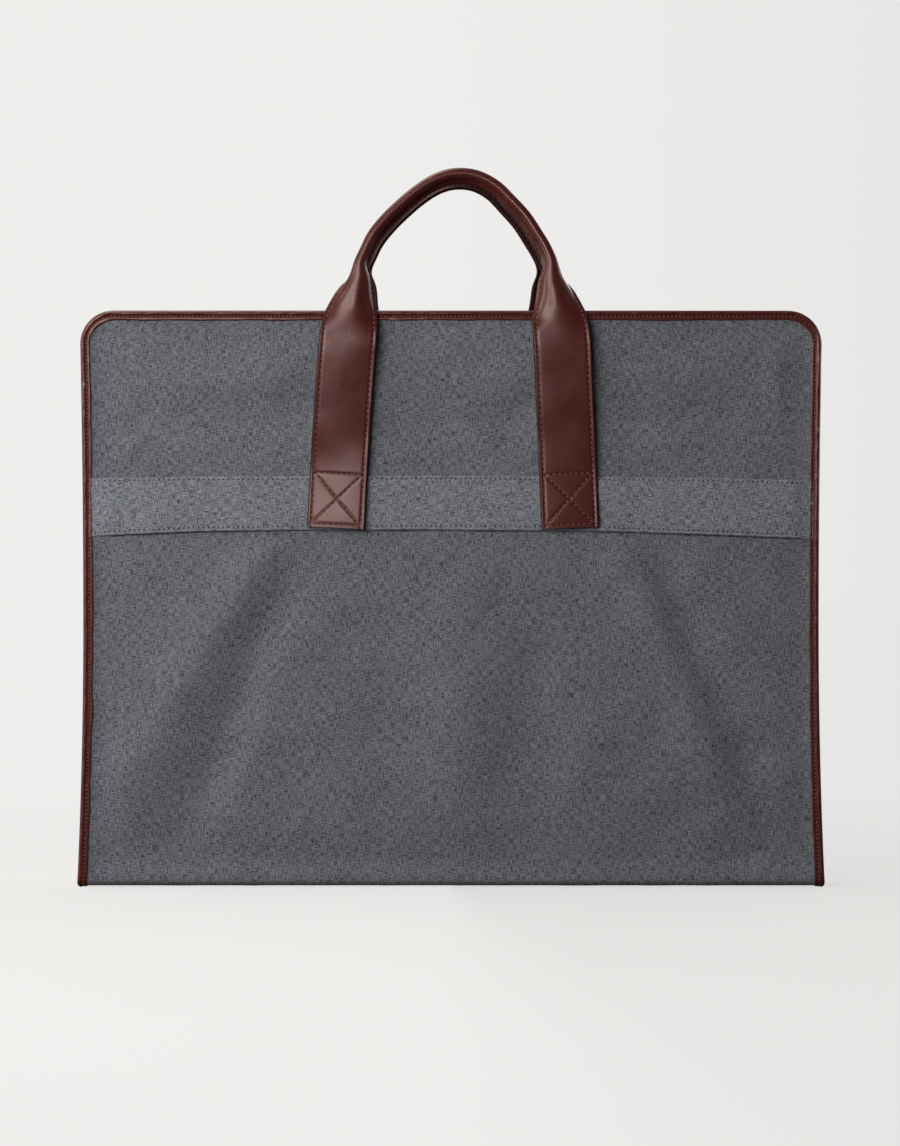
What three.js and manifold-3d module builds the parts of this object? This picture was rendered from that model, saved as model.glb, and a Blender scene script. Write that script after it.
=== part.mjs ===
// Folding garment carrier: two flat canvas halves joined by a canvas spine, closed like a book.
// Millimetres. +X to the right, +Y to the rear, +Z up. It stands on its spine, folded shut, and
// the origin is the middle of its base.
import * as THREE from "three";
import { mergeVertices } from "three/addons/utils/BufferGeometryUtils.js";
import Module from "manifold-3d";

const wasm = await Module();
wasm.setup();

// The folded bag.
const HALF_WIDTH_TOP = 300;
const HALF_WIDTH_WAIST = 297;
const HALF_WIDTH_BASE = 302;
const WAIST = 210;
const HEIGHT = 466;
const CORNER_RADIUS = 27;
const FACE_Y = 28; // outer canvas face of each half, either side of the middle
const INNER_Y = 5; // inner canvas face of each half
const GAP = 0.3; // between pieces that touch
const CANVAS = 1.2;
const HALF_BOTTOM = 5; // lowest edge of each half, just above its fold line
const FAR = 400; // further out than any part of the bag

// The spine under the two halves, between their fold lines.
const SPINE_Y = 25.4;
const SPINE_BINDING_HEIGHT = 3.2;

// Leather binding round the panel edges.
const OUTER_BINDING_WIDTH = 8;
const INNER_BINDING_WIDTH = 6;
const BINDING_LIP = 0.9; // leather thickness over the canvas
const FLANGE = 1; // turned edge of the gusset, gripped with the panel
const GUSSET_INSET = 9;

// Canvas band that carries the handles.
const BAND_BOTTOM = 285;
const BAND_TOP = 331;
const BAND_THICK = 2.3;
const PANEL_SEAM = 308;

// Padding and lining.
const FOAM_THICK = 2.4;
const LINING_THICK = 0.7;

// Zip down the middle of the inner faces.
const ZIP_MOUTH = 14;
const ZIP_TOP = 440;
const ZIP_BOTTOM = 14;
const CHAIN_WIDTH = 4.4;
const CHAIN_THICK = 1.8;
const TAPE_WIDTH = 17;
const TAPE_THICK = 0.5;
const SLIDER_WIDTH = 8.4;
const SLIDER_HEIGHT = 12;
const PULL_LENGTH = 30;

// Handles: flat straps that close into a rolled grip.
const STRAP_WIDTH = 44.6;
const STRAP_THICK = 3;
const ANCHOR_X = 94.4; // middle of each sewn strap end, either side of the handle's middle
const STRAP_X = 85.4; // middle of each strap where it starts to close into the grip
const FLARE_BOTTOM = 462;
const GRIP_BOTTOM = 503;
const GRIP_TOP = 576;
const GRIP_RADIUS = 60; // of the arch, to the middle of the grip
const GRIP_THICK = 11;
const CORE_THICK = 7;
const HANDLE_OFFSET = 3.2; // the straps are sewn on this far right of the middle
const HANDLE_LEAN = 4.9; // and the arch leans this much further right
const HANDLE_TILT = 6; // the arch tilts this far in over the bag

const bag = new THREE.Group();

const finish = (color, roughness, metalness = 0) => () =>
  new THREE.MeshStandardMaterial({ color, roughness, metalness });
const canvas = finish(0x63666a, 0.9);
const leather = finish(0x4a2019, 0.45);
const cotton = finish(0x3c3f44, 0.8);
const foam = finish(0xc9c7c0, 0.95);
const tape = finish(0x23252a, 0.85);
const brass = finish(0xa8894f, 0.35, 1);
const rope = finish(0xd8cdb4, 0.95);

function add(name, geometry, look) {
  const mesh = new THREE.Mesh(geometry, look());
  mesh.name = name;
  bag.add(mesh);
}

// --- Solids ---------------------------------------------------------------------------------

function toSolid(geometry) {
  const bare = geometry.clone();
  bare.deleteAttribute("normal");
  bare.deleteAttribute("uv");
  const merged = mergeVertices(bare, 1e-3);
  const triVerts = new Uint32Array(merged.index.array);
  const vertProperties = merged.attributes.position.array;
  return new wasm.Manifold(new wasm.Mesh({ numProp: 3, vertProperties, triVerts }));
}

function toGeometry(solid) {
  const mesh = solid.getMesh();
  const geometry = new THREE.BufferGeometry();
  geometry.setAttribute("position", new THREE.BufferAttribute(mesh.vertProperties, 3));
  geometry.setIndex(new THREE.BufferAttribute(mesh.triVerts, 1));
  return geometry;
}

const combine =
  (step) =>
  (first, ...rest) =>
    toGeometry(rest.reduce((solid, next) => solid[step](toSolid(next)), toSolid(first)));
const cut = combine("subtract");
const join = combine("add");
const keep = combine("intersect");

// A box between two values along each axis, in either order.
function box([x0, x1], [y0, y1], [z0, z1]) {
  const size = [x1 - x0, y1 - y0, z1 - z0].map(Math.abs);
  const geometry = new THREE.BoxGeometry(...size);
  return geometry.translate((x0 + x1) / 2, (y0 + y1) / 2, (z0 + z1) / 2);
}

// A shape drawn in X and Z, made solid between two depths in either order.
function plate(shape, [near, far]) {
  const settings = { depth: Math.abs(far - near), bevelEnabled: false, curveSegments: 5 };
  const solid = new THREE.ExtrudeGeometry(shape, settings).rotateX(Math.PI / 2);
  return solid.translate(0, Math.max(near, far), 0);
}

// A round bar along X.
function bar(radius, length, y, z) {
  const geometry = new THREE.CylinderGeometry(radius, radius, length, 10);
  return geometry.rotateZ(Math.PI / 2).translate(0, y, z);
}

// --- Outline of a half ------------------------------------------------------------------------

// Half the width at a height: the sides draw in at the waist and spread at the base.
function halfWidth(z) {
  const above = z > WAIST;
  const reach = above ? (z - WAIST) / (HEIGHT - WAIST) : (WAIST - z) / WAIST;
  const spread = (above ? HALF_WIDTH_TOP : HALF_WIDTH_BASE) - HALF_WIDTH_WAIST;
  return HALF_WIDTH_WAIST + spread * reach ** 2;
}

// The outline of a half, drawn in by an inset and closed across the bottom.
function outline(inset, bottom) {
  const radius = Math.max(CORNER_RADIUS - inset, 4);
  const corner = HEIGHT - inset - radius;
  const cornerX = halfWidth(corner) - inset - radius;
  const sideSteps = 4;
  const heights = Array.from(
    { length: sideSteps },
    (_, i) => bottom + ((corner - bottom) * i) / sideSteps,
  );
  const shape = new THREE.Shape();
  heights.forEach((z, i) => shape[i ? "lineTo" : "moveTo"](-halfWidth(z) + inset, z));
  shape.absarc(-cornerX, corner, radius, Math.PI, Math.PI / 2, true);
  shape.absarc(cornerX, corner, radius, Math.PI / 2, 0, true);
  heights.reverse().forEach((z) => shape.lineTo(halfWidth(z) - inset, z));
  return shape;
}

// A frame that follows both sides and the top between two insets, open at the bottom.
function frame(outerInset, innerInset, span) {
  const hole = plate(outline(innerInset, -10), [-FAR, FAR]);
  return cut(plate(outline(outerInset, HALF_BOTTOM), span), hole);
}

// --- Lofted straps ------------------------------------------------------------------------------

// A closed solid through rings of points that all have the same count.
function loft(rings) {
  const count = rings[0].length;
  const last = (rings.length - 1) * count;
  const faces = [];
  for (let r = 0; r < last; r += count) {
    for (let i = 0; i < count; i++) {
      const [a, b] = [r + i, r + ((i + 1) % count)];
      faces.push(a, b, a + count, b, b + count, a + count);
    }
  }
  for (let i = 1; i + 1 < count; i++) {
    faces.push(0, i + 1, i, last, last + i, last + i + 1);
  }
  return new THREE.BufferGeometry().setFromPoints(rings.flat()).setIndex(faces);
}

// A rounded section square to a curve: width lies in the arch, depth runs front to back.
// corner 1 gives an ellipse, and less gives squarer corners.
function ring(curve, at, { width, depth, corner, sides }) {
  const centre = curve.getPointAt(at);
  const along = curve.getTangentAt(at);
  const across = new THREE.Vector3(0, 1, 0).addScaledVector(along, -along.y).normalize();
  const inArch = new THREE.Vector3().crossVectors(across, along);
  return Array.from({ length: sides }, (_, i) => {
    const turn = (2 * Math.PI * (i + 0.5)) / sides;
    const [u, v] = [Math.cos(turn), Math.sin(turn)].map((n) => Math.sign(n) * Math.abs(n) ** corner);
    return centre
      .clone()
      .addScaledVector(inArch, (u * width) / 2)
      .addScaledVector(across, (v * depth) / 2);
  });
}

// --- Halves of the bag ----------------------------------------------------------------------------

// side is -1 for the front half and 1 for the rear half.
function outerFace(half, side) {
  const face = plate(outline(OUTER_BINDING_WIDTH / 2, HALF_BOTTOM), [
    side * (FACE_Y - CANVAS),
    side * FACE_Y,
  ]);
  const everywhere = [-FAR, FAR];
  const above = box(everywhere, everywhere, [PANEL_SEAM + GAP / 2, FAR + HEIGHT]);
  const below = box(everywhere, everywhere, [0, PANEL_SEAM - GAP / 2]);
  add(`${half}_upper_panel`, keep(face, above), canvas);
  add(`${half}_lower_panel`, keep(face, below), canvas);

  const bandY = side * (FACE_Y + GAP);
  const strip = plate(outline(OUTER_BINDING_WIDTH + GAP, 0), [bandY, bandY + side * BAND_THICK]);
  const height = box(everywhere, everywhere, [BAND_BOTTOM, BAND_TOP]);
  add(`${half}_handle_band`, keep(strip, height), canvas);
}

// The wall between the two faces of a half, with a turned edge under each binding.
function gusset(half, side) {
  const inner = GUSSET_INSET + CANVAS;
  const nearY = INNER_Y + CANVAS + GAP;
  const farY = FACE_Y - CANVAS - GAP;
  const wall = frame(GUSSET_INSET, inner, [side * nearY, side * farY]);
  const outerEdge = frame(OUTER_BINDING_WIDTH / 2, inner, [side * (farY - FLANGE), side * farY]);
  const innerEdge = frame(INNER_BINDING_WIDTH / 2, inner, [side * nearY, side * (nearY + FLANGE)]);
  const whole = join(wall, outerEdge, innerEdge);

  const depth = [-FAR, FAR];
  const shoulder = HEIGHT - CORNER_RADIUS;
  const upright = [0, shoulder - GAP / 2];
  add(`${half}_gusset_left`, keep(whole, box([-FAR, 0], depth, upright)), canvas);
  add(`${half}_gusset_right`, keep(whole, box([0, FAR], depth, upright)), canvas);
  const top = box([-FAR, FAR], depth, [shoulder + GAP / 2, HEIGHT + FAR]);
  add(`${half}_gusset_top`, keep(whole, top), canvas);
}

// Folded leather that grips a panel edge and the gusset's turned edge together. faceY is the outside
// of the panel, and inward points from there to the turned edge.
function binding(name, width, faceY, inward) {
  const stack = CANVAS + FLANGE + GAP;
  const grip = [faceY - inward * GAP, faceY + inward * (stack + GAP)];
  const around = [grip[0] - inward * BINDING_LIP, grip[1] + inward * BINDING_LIP];
  const groove = plate(outline(width / 2 - GAP, -10), grip);
  add(name, cut(frame(0, width, around), groove), leather);
}

function innerFace(half, side) {
  const y = side * INNER_Y;
  const inset = INNER_BINDING_WIDTH / 2;
  const face = plate(outline(inset, HALF_BOTTOM), [y, y + side * CANVAS]);
  const mouth = box([-ZIP_MOUTH / 2, ZIP_MOUTH / 2], [-FAR, FAR], [0, ZIP_TOP + 4]);
  const tapeY = y + side * (CANVAS + GAP);
  for (const [hand, word] of [
    [-1, "left"],
    [1, "right"],
  ]) {
    const part = box([(hand * GAP) / 2, hand * FAR], [-FAR, FAR], [0, HEIGHT]);
    add(`${half}_inner_panel_${word}`, cut(keep(face, part), mouth), canvas);
    const strip = box(
      [(hand * GAP) / 2, hand * TAPE_WIDTH],
      [tapeY, tapeY + side * TAPE_THICK],
      [ZIP_BOTTOM, ZIP_TOP],
    );
    add(`${half}_zip_tape_${word}`, strip, tape);
  }
  const chainY = y + side * CANVAS;
  const chain = box(
    [-CHAIN_WIDTH / 2, CHAIN_WIDTH / 2],
    [chainY - side * CHAIN_THICK, chainY],
    [ZIP_BOTTOM, ZIP_TOP - 3],
  );
  add(`${half}_zip_chain`, chain, brass);
}

// Foam sheet behind the outer canvas, and the lining over it.
function padding(half, side) {
  const shape = outline(GUSSET_INSET + CANVAS + GAP, HALF_BOTTOM + 5);
  const foamY = FACE_Y - CANVAS - GAP;
  const liningY = foamY - FOAM_THICK - GAP;
  add(`${half}_foam`, plate(shape, [side * foamY, side * (foamY - FOAM_THICK)]), foam);
  add(`${half}_lining`, plate(shape, [side * liningY, side * (liningY - LINING_THICK)]), cotton);
}

// --- Spine ------------------------------------------------------------------------------------------

function spine() {
  const depth = [-SPINE_Y, SPINE_Y];
  const middle = HALF_WIDTH_BASE - OUTER_BINDING_WIDTH - GAP;
  const tongueLength = 8;
  const tongueEnd = HALF_WIDTH_BASE - OUTER_BINDING_WIDTH / 2;
  const raised = 0.9; // the canvas ends step up over the binding's lower lip
  const sheet = box([-middle, middle], depth, [0, CANVAS]);
  const tongue = box([-tongueEnd, tongueEnd], depth, [raised, raised + CANVAS]);
  const innerX = middle - tongueLength;
  const hollow = box([-innerX, innerX], [-FAR, FAR], [CANVAS, FAR]);
  add("spine_panel", join(sheet, cut(tongue, hollow)), canvas);

  const liningX = innerX - GAP;
  const liningZ = CANVAS + GAP;
  add("spine_lining", box([-liningX, liningX], depth, [liningZ, liningZ + LINING_THICK]), cotton);

  for (const [hand, word] of [
    [-1, "left"],
    [1, "right"],
  ]) {
    const inner = hand * (HALF_WIDTH_BASE - OUTER_BINDING_WIDTH);
    const block = box([inner, hand * HALF_WIDTH_BASE], depth, [0, SPINE_BINDING_HEIGHT]);
    const groove = box(
      [0, hand * (tongueEnd + GAP)],
      [-FAR, FAR],
      [raised - GAP, raised + CANVAS + GAP],
    );
    add(`spine_binding_${word}`, cut(block, groove), leather);
  }
}

// --- Zip slider ---------------------------------------------------------------------------------------

// A crimped metal stop at one end of the chain.
function zipStop(name, side) {
  const chainFar = side * (INNER_Y + CANVAS);
  const half = CHAIN_WIDTH / 2;
  const depth = [chainFar - side * CHAIN_THICK, chainFar];
  add(name, box([-half, half], depth, [ZIP_TOP - 2.6, ZIP_TOP]), brass);
}

// The slider straddles the chain on the rear half, and its pull hangs in the gap between the halves.
function zipSlider() {
  const top = ZIP_TOP - 4;
  const middle = top - SLIDER_HEIGHT / 2;
  const chainFront = INNER_Y + CANVAS - CHAIN_THICK;
  const plateY = chainFront - GAP - 1.5;
  const edgeX = SLIDER_WIDTH / 2;
  const body = box([-edgeX, edgeX], [plateY, INNER_Y + CANVAS - GAP], [top - SLIDER_HEIGHT, top]);
  const channelX = CHAIN_WIDTH / 2 + GAP;
  const channel = box([-channelX, channelX], [chainFront - GAP, FAR], [0, FAR + HEIGHT]);
  const pinY = plateY - 2.1;
  const ears = [-1, 1].map((hand) =>
    box([hand * edgeX, hand * (edgeX - 1)], [plateY + 0.5, pinY - 1], [middle - 1.2, middle + 1.2]),
  );
  const pin = bar(0.6, SLIDER_WIDTH - 1, pinY, middle);
  add("zip_slider", join(cut(body, channel), ...ears, pin), brass);

  const eyeX = edgeX - 1 - GAP;
  const eye = bar(1.7, 2 * eyeX, pinY, middle);
  const tab = box([-eyeX, eyeX], [pinY - 0.8, pinY + 0.8], [middle - PULL_LENGTH, middle]);
  add("zip_pull", cut(join(eye, tab), bar(0.9, FAR, pinY, middle)), brass);
}

// Webbing strap that holds the garment's hanger, from the top of the rear half.
function hangerStrap() {
  const top = HEIGHT - GUSSET_INSET - CANVAS - GAP;
  add("hanger_strap", box([-12.5, 12.5], [16, 17.6], [top - 60, top]), tape);
}

// --- Handles --------------------------------------------------------------------------------------------

// Middle of the strap and grip, from one sewn end over the arch to the other.
function handlePath(side) {
  const archMiddle = GRIP_TOP - GRIP_RADIUS;
  const arch = [60, 40, 20].map((degrees) => {
    const turn = THREE.MathUtils.degToRad(degrees);
    return [GRIP_RADIUS * Math.sin(turn), archMiddle + GRIP_RADIUS * Math.cos(turn)];
  });
  const rise = [
    [ANCHOR_X + 1, BAND_BOTTOM - 20],
    [(ANCHOR_X + STRAP_X) / 2, (BAND_BOTTOM + FLARE_BOTTOM) / 2],
    [STRAP_X, FLARE_BOTTOM],
    [STRAP_X - 4.6, FLARE_BOTTOM + 15],
    [STRAP_X - 7.2, GRIP_BOTTOM],
    ...arch,
  ];
  const place = ([x, z], hand) => {
    const share = (z - BAND_BOTTOM) / (GRIP_TOP - BAND_BOTTOM);
    const inward = HANDLE_TILT * THREE.MathUtils.smoothstep(z, FLARE_BOTTOM + 8, GRIP_TOP);
    const y = FACE_Y + BAND_THICK + 2 * GAP + STRAP_THICK / 2 - inward;
    return new THREE.Vector3(hand * x + HANDLE_OFFSET + HANDLE_LEAN * share, side * y, z);
  };
  const left = rise.map((point) => place(point, -1));
  const right = rise.map((point) => place(point, 1)).reverse();
  return new THREE.CatmullRomCurve3([...left, place([0, GRIP_TOP], 1), ...right]);
}

// Where along the path, from its left end, it reaches a height.
function shareAt(path, z) {
  const steps = 1000;
  return Array.from({ length: steps }, (_, i) => i / steps).find((u) => path.getPointAt(u).z >= z);
}

// count + 1 even steps between two values.
function spread(start, end, count) {
  return Array.from({ length: count + 1 }, (_, i) => start + ((end - start) * i) / count);
}

// The flat strap closes into the grip's section above the flare.
function strapSection(z) {
  const closed = THREE.MathUtils.smoothstep(z, FLARE_BOTTOM, GRIP_BOTTOM);
  const width = THREE.MathUtils.lerp(STRAP_WIDTH, GRIP_THICK, closed);
  const depth = THREE.MathUtils.lerp(STRAP_THICK, GRIP_THICK, closed ** 1.5);
  return { width, depth, corner: 0.3 + 0.6 * closed, sides: 12 };
}

function handle(half, side) {
  const path = handlePath(side);
  const grip = shareAt(path, GRIP_BOTTOM);
  const strapEnd = grip - GAP / path.getLength();
  const sewnCuts = [BAND_BOTTOM - 6, BAND_TOP + 20].map((z) => shareAt(path, z));
  const freeCuts = [
    shareAt(path, BAND_TOP - 20),
    ...spread(shareAt(path, FLARE_BOTTOM), strapEnd, 6),
  ];
  const depth = [-FAR, FAR];
  for (const [hand, word] of [
    [-1, "left"],
    [1, "right"],
  ]) {
    const strap = (cuts) => {
      const rings = cuts.map((u) => {
        const at = hand < 0 ? u : 1 - u;
        return ring(path, at, strapSection(path.getPointAt(at).z));
      });
      return loft(hand < 0 ? rings : rings.reverse());
    };
    const sewn = box([-FAR, FAR], depth, [BAND_BOTTOM + 3.6, BAND_TOP]);
    add(`${half}_handle_anchor_${word}`, keep(strap(sewnCuts), sewn), leather);
    const free = box([-FAR, FAR], depth, [BAND_TOP + GAP, FAR + HEIGHT]);
    add(`${half}_handle_strap_${word}`, keep(strap(freeCuts), free), leather);
  }

  const tube = (cuts, thick, sides) =>
    loft(cuts.map((u) => ring(path, u, { width: thick, depth: thick, corner: 0.9, sides })));
  const turns = spread(grip, 1 - grip, 18);
  const bore = [grip - 0.002, ...turns.slice(1, -1), 1 - grip + 0.002];
  const sleeve = cut(tube(turns, GRIP_THICK, 12), tube(bore, CORE_THICK + 2 * GAP, 8));
  add(`${half}_handle_grip`, sleeve, leather);
  add(`${half}_handle_core`, tube(turns, CORE_THICK, 8), rope);
}

for (const [half, side] of [
  ["front", -1],
  ["rear", 1],
]) {
  outerFace(half, side);
  gusset(half, side);
  binding(`${half}_outer_binding`, OUTER_BINDING_WIDTH, side * FACE_Y, -side);
  binding(`${half}_inner_binding`, INNER_BINDING_WIDTH, side * INNER_Y, side);
  innerFace(half, side);
  padding(half, side);
  handle(half, side);
}
spine();
zipStop("zip_top_stop", 1);
zipStop("zip_bottom_stop", -1);
zipSlider();
hangerStrap();

export default bag;
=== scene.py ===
"""Folding garment carrier: grey melange canvas, leather binding and two arched leather handles."""
import math

import bmesh
import bpy
import numpy as np
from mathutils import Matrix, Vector


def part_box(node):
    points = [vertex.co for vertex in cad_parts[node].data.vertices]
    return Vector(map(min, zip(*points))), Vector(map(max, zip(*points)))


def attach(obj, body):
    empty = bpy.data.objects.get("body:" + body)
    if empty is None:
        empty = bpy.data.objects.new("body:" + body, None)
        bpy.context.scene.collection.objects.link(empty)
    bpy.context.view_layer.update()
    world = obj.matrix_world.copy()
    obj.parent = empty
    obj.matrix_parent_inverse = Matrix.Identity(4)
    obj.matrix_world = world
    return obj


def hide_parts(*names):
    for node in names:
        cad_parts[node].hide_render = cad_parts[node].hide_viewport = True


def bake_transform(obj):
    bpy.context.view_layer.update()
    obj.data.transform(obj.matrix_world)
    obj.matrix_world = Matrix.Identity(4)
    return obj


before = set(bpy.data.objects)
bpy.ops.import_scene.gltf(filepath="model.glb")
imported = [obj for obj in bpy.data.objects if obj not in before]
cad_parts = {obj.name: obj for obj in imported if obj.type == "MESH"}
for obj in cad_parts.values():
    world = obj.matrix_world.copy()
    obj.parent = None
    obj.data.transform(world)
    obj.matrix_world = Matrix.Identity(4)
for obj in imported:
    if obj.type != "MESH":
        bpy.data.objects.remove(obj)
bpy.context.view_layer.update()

bl_info = {
    "name": "Folding garment carrier",
    "version": (1, 0, 0),
    "blender": (4, 5, 0),
    "location": "3D View > Sidebar > Carrier",
    "description": "Builds the cloth, leather and thread of a folding garment carrier on its frame",
    "category": "Object",
}


def reach(node):
    """A frame node's lowest and highest corner, in millimetres."""
    low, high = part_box(node)
    return np.array(low) * 1000, np.array(high) * 1000


# Sizes in millimetres. The half behind the fold is the front half mirrored, so depths are given
# for the rear half, where they are positive.
TOP = reach("rear_outer_binding")[1][2]
FACE = reach("rear_upper_panel")[1][1]
INNER_FACE = reach("rear_inner_panel_left")[0][1]
BAND_LOW, BAND_HIGH = reach("rear_handle_band")
ZIP_LOW, ZIP_HIGH = reach("rear_zip_chain")
TAPE_LOW, TAPE_HIGH = reach("rear_zip_tape_left")
WAIST, WAIST_HEIGHT = 297.0, 210.0
CORNER, CORNER_ROWS = 27.0, 15
CANVAS = 1.2
FOLD_RADIUS, FOLD_FLOOR, FOLD_ROWS = 5.5, 1.4, 9
INNER_FOLD_RADIUS, INNER_FOLD_FLOOR = 3.0, 7.5
SEAM = 308.0
TUCK = 2.0
STRAPS_MIDDLE, STRAP_REACH = 6, 87
HALVES = {"front": -1, "rear": 1}


def linear(code):
    """An sRGB hex colour as linear RGBA."""
    values = [int(code[i:i + 2], 16) / 255 for i in (0, 2, 4)]
    return tuple(v / 12.92 if v <= 0.04045 else ((v + 0.055) / 1.055) ** 2.4 for v in values) + (1.0,)


def length_setting(label, use, value, low, high):
    """A length for the sidebar, in metres."""
    return bpy.props.FloatProperty(name=label, description=use, default=value, min=low, max=high,
                                   unit="LENGTH")


def colour_setting(label, use, code):
    """A colour for the sidebar."""
    return bpy.props.FloatVectorProperty(name=label, description=use, default=linear(code), size=4,
                                         min=0, max=1, subtype="COLOR")


class CarrierSizes(bpy.types.PropertyGroup):
    """Sizes of the sewn parts."""

    binding_width: length_setting(
        "Binding width", "Leather that shows on each side of the rim", 0.008, 0.004, 0.015)
    binding_pitch: length_setting(
        "Binding stitch", "Length of one stitch on the binding", 0.0033, 0.002, 0.008)
    handle_pitch: length_setting(
        "Handle stitch", "Length of one stitch on the handles", 0.0045, 0.002, 0.008)
    cloth_pitch: length_setting(
        "Cloth stitch", "Length of one stitch on the handle band", 0.004, 0.002, 0.008)
    relief: bpy.props.FloatProperty(
        name="Drape", description="Strength of the folds in the canvas, 1 as made",
        default=1.0, min=0.0, max=2.0, subtype="FACTOR")


class CarrierColours(bpy.types.PropertyGroup):
    """Colours of the cloth, leather and thread."""

    canvas: colour_setting("Canvas", "Middle colour of the melange yarns", "4F5156")
    leather: colour_setting("Leather", "Colour of the dyed leather", "491D19")
    leather_thread: colour_setting("Leather thread", "Thread on binding and handles", "7C4A42")
    canvas_thread: colour_setting("Canvas thread", "Thread on the handle band", "83858B")
    backdrop: colour_setting("Backdrop", "Studio paper behind and under the carrier", "EFEEEC")


# ---------------------------------------------------------------- mesh helpers

def smooth(start, end, value):
    """0 before start, 1 after end, and an even ramp between them."""
    t = np.clip((np.asarray(value, float) - start) / (end - start), 0, 1)
    return t * t * (3 - 2 * t)


def unit(vectors):
    """Vectors of length 1."""
    vectors = np.asarray(vectors, float)
    return vectors / np.maximum(np.linalg.norm(vectors, axis=-1, keepdims=True), 1e-12)


def distances(points):
    """Length along a line of points, from its start."""
    return np.concatenate([[0], np.cumsum(np.linalg.norm(np.diff(points, axis=0), axis=1))])


def sampled(at, reached, points):
    """The line's points at some distances along it. reached holds the distance of each point."""
    return np.stack([np.interp(at, reached, points[:, k]) for k in range(points.shape[1])], axis=1)


def curve_through(points, step):
    """A smooth line through the points, as Catmull and Rom draw it, cut into even steps."""
    p = np.asarray(points, float)
    p = np.vstack([2 * p[0] - p[1], p, 2 * p[-1] - p[-2]])
    t = np.linspace(0, 1, 24, endpoint=False)[:, None]
    line = []
    for a, b, c, d in zip(p, p[1:], p[2:], p[3:]):
        line.append(0.5 * (2 * b + (c - a) * t + (2 * a - 5 * b + 4 * c - d) * t ** 2
                           + (3 * b - a - 3 * c + d) * t ** 3))
    line = np.vstack(line + [p[-2:-1]])
    along = distances(line)
    even = np.linspace(0, along[-1], max(2, int(round(along[-1] / step)) + 1))
    return sampled(even, along, line)


def waves(seed, lengths, count=28):
    """A random field of soft waves of about unit height: a function of two coordinates in mm."""
    maker = np.random.default_rng(seed)
    size = maker.uniform(lengths[0], lengths[1], count)
    turn = maker.uniform(0, 2 * math.pi, count)
    phase = maker.uniform(0, 2 * math.pi, count)
    kx, ky = 2 * math.pi * np.cos(turn) / size, 2 * math.pi * np.sin(turn) / size

    def field(x, y):
        total = np.zeros(np.broadcast(x, y).shape)
        for a, b, c in zip(kx, ky, phase):
            total = total + np.sin(a * x + b * y + c)
        return total * math.sqrt(2 / count)
    return field


def build(name, points, faces, material, uv=None, sharp=None):
    """A mesh object from points in mm. uv has one pair in metres per face corner; its normals are
    turned outwards."""
    mesh = bpy.data.meshes.new(name)
    mesh.from_pydata((np.asarray(points) * 0.001).tolist(), [], faces)
    if uv is not None:
        layer = mesh.uv_layers.new(name="UVMap")
        layer.data.foreach_set("uv", np.asarray(uv, np.float32).ravel())
    bm = bmesh.new()
    bm.from_mesh(mesh)
    bmesh.ops.recalc_face_normals(bm, faces=bm.faces)
    bm.to_mesh(mesh)
    bm.free()
    mesh.shade_smooth()
    obj = bpy.data.objects.new(name, mesh)
    bpy.context.collection.objects.link(obj)
    if sharp is not None:
        mesh.set_sharp_from_angle(angle=math.radians(sharp))
    mesh.materials.append(material)
    return obj


def loft(name, rings, material, along, around=None, sharp=50):
    """A closed solid through rings of points, (rows, points, 3) in mm. along and around are the
    distances that its UV map takes, in mm."""
    rows, count = rings.shape[:2]
    if around is None:
        around = lap_of(rings[rows // 2])
    faces, uv = [], []
    for i in range(rows - 1):
        va, vb = along[i], along[i + 1]
        here, there = i * count, (i + 1) * count
        for k in range(count):
            m = (k + 1) % count
            faces.append((here + k, here + m, there + m, there + k))
            uv += [(around[k], va), (around[k + 1], va), (around[k + 1], vb), (around[k], vb)]
    for i in (0, rows - 1):
        faces.append(tuple(i * count + k for k in range(count)))
        uv += [(around[k], along[i]) for k in range(count)]
    return build(name, rings.reshape(-1, 3), faces, material, np.array(uv) * 0.001, sharp)


def lap_of(ring):
    """Distances round a closed ring of points, back to its first."""
    return distances(np.vstack([ring, ring[:1]]))


def slab(name, grid, thickness, material, outward, along=None, around=None):
    """Cloth or foam with its outer face on grid (rows, columns, 3) and its thickness behind it.
    outward is the direction that most of the outer face looks in."""
    normal = unit(np.cross(np.gradient(grid, axis=1), np.gradient(grid, axis=0)))
    if np.sum(normal * outward) < 0:
        normal = -normal
    # The first and last columns are pinched, which rounds the cut edges.
    lip = np.ones(grid.shape[1])
    lip[0] = lip[-1] = 0.0
    front = grid - normal * thickness * 0.25 * (1 - lip)[:, None]
    back = grid - normal * thickness * (0.75 + 0.25 * lip)[:, None]
    rings = np.concatenate([front, back[:, ::-1]], axis=1)
    if around is None:
        around = distances(grid[len(grid) // 2])
        around = around - around[-1] / 2
    if along is None:
        along = distances(grid[:, grid.shape[1] // 2])
    turned = np.concatenate([around, around[::-1] + 0.001, around[:1]])
    return loft(name, rings, material, along, turned)


def plane(x, y, z):
    """A grid of points from coordinates that broadcast to rows and columns."""
    return np.stack(np.broadcast_arrays(x, y, z), axis=2)


def copies(template, faces, places, sides, ups, alongs):
    """Points and faces of one small shape repeated at places; its own axes are (along, side, up)."""
    template = np.asarray(template, float)
    points = (places[:, None, :] + template[None, :, 0:1] * alongs[:, None, :]
              + template[None, :, 1:2] * sides[:, None, :] + template[None, :, 2:3] * ups[:, None, :])
    count = len(template)
    every = [tuple(i * count + v for v in face) for i in range(len(places)) for face in faces]
    return points.reshape(-1, 3), every


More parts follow.
